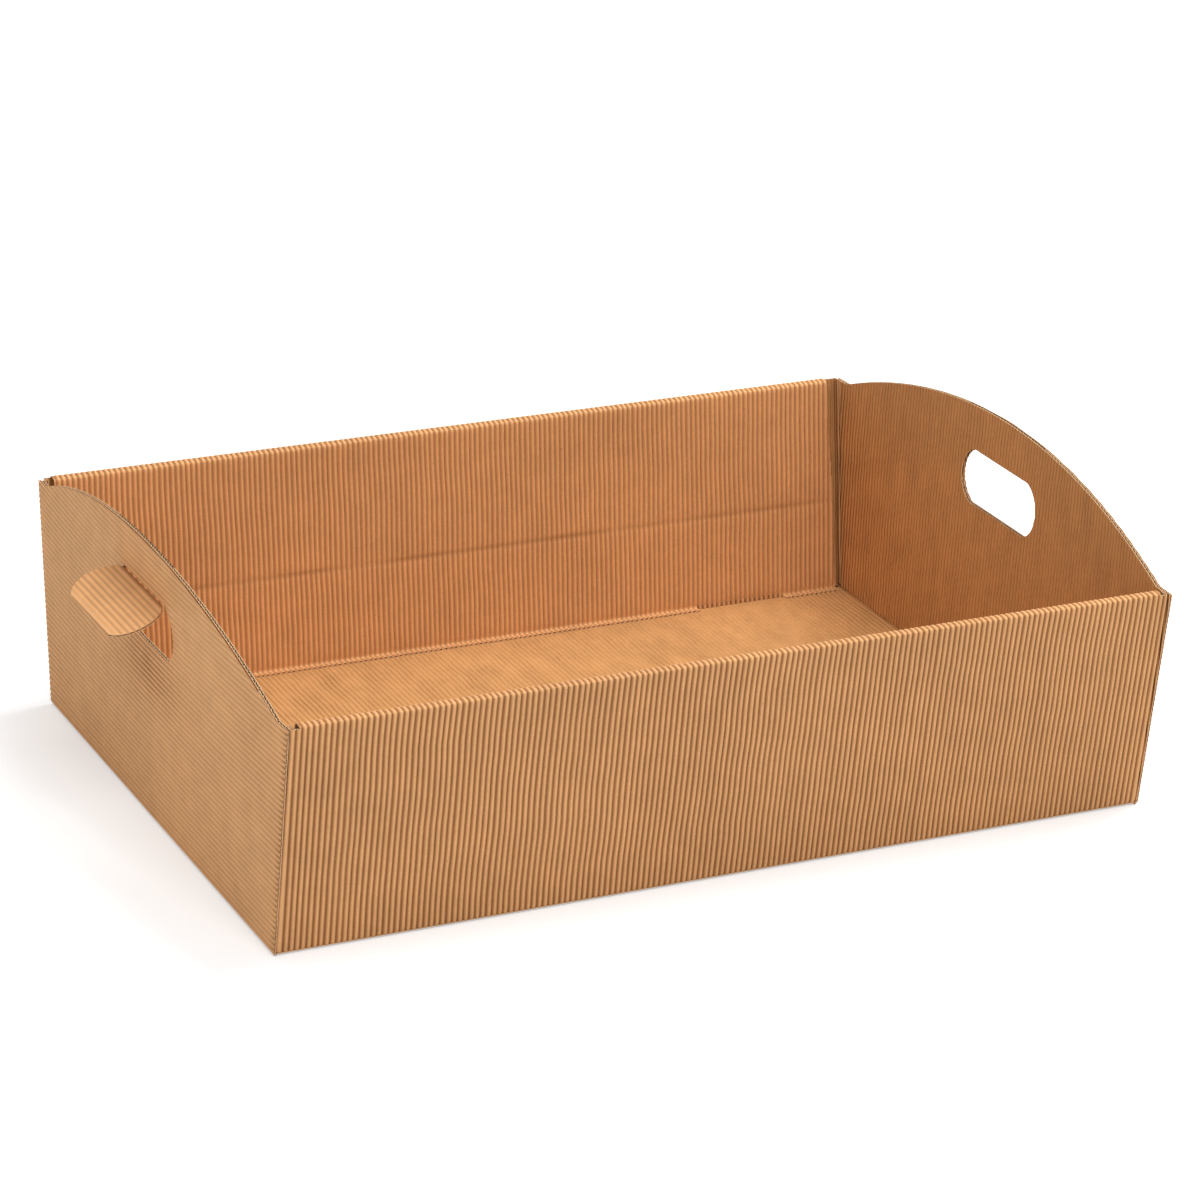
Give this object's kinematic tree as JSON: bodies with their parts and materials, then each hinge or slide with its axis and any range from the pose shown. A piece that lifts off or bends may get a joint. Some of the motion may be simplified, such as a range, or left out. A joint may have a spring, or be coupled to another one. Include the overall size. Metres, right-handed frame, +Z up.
{
  "type": "cardboard tray box",
  "caption": "Open cardboard tray box of ribbed kraft board with rolled long walls, bowed end walls, hand holes and push-out hand flaps.",
  "frame": {"origin": "middle of the footprint, with the underside of the base on z = 0", "axes": "+X along the long walls, +Y across towards the far long wall, +Z up"},
  "size_m": [0.5718, 0.373, 0.1615],
  "materials": {
    "kraft_board": "matte"
  },
  "bodies": {
    "tray": {"folded_tray": "kraft_board"},
    "left_flap": {"left_hand_flap": "kraft_board"},
    "right_flap": {"right_hand_flap": "kraft_board"}
  },
  "joints": [
    {"name": "left_flap_hinge", "type": "hinge", "parent": "tray", "child": "left_flap", "pos_m": [-0.25604, 0, 0.1352], "axis": [0, 1, 0], "range_deg": [-75.4, 95]},
    {"name": "right_flap_hinge", "type": "hinge", "parent": "tray", "child": "right_flap", "pos_m": [0.25604, 0, 0.1352], "axis": [0, -1, 0], "range_deg": [-75.4, 95]}
  ]
}
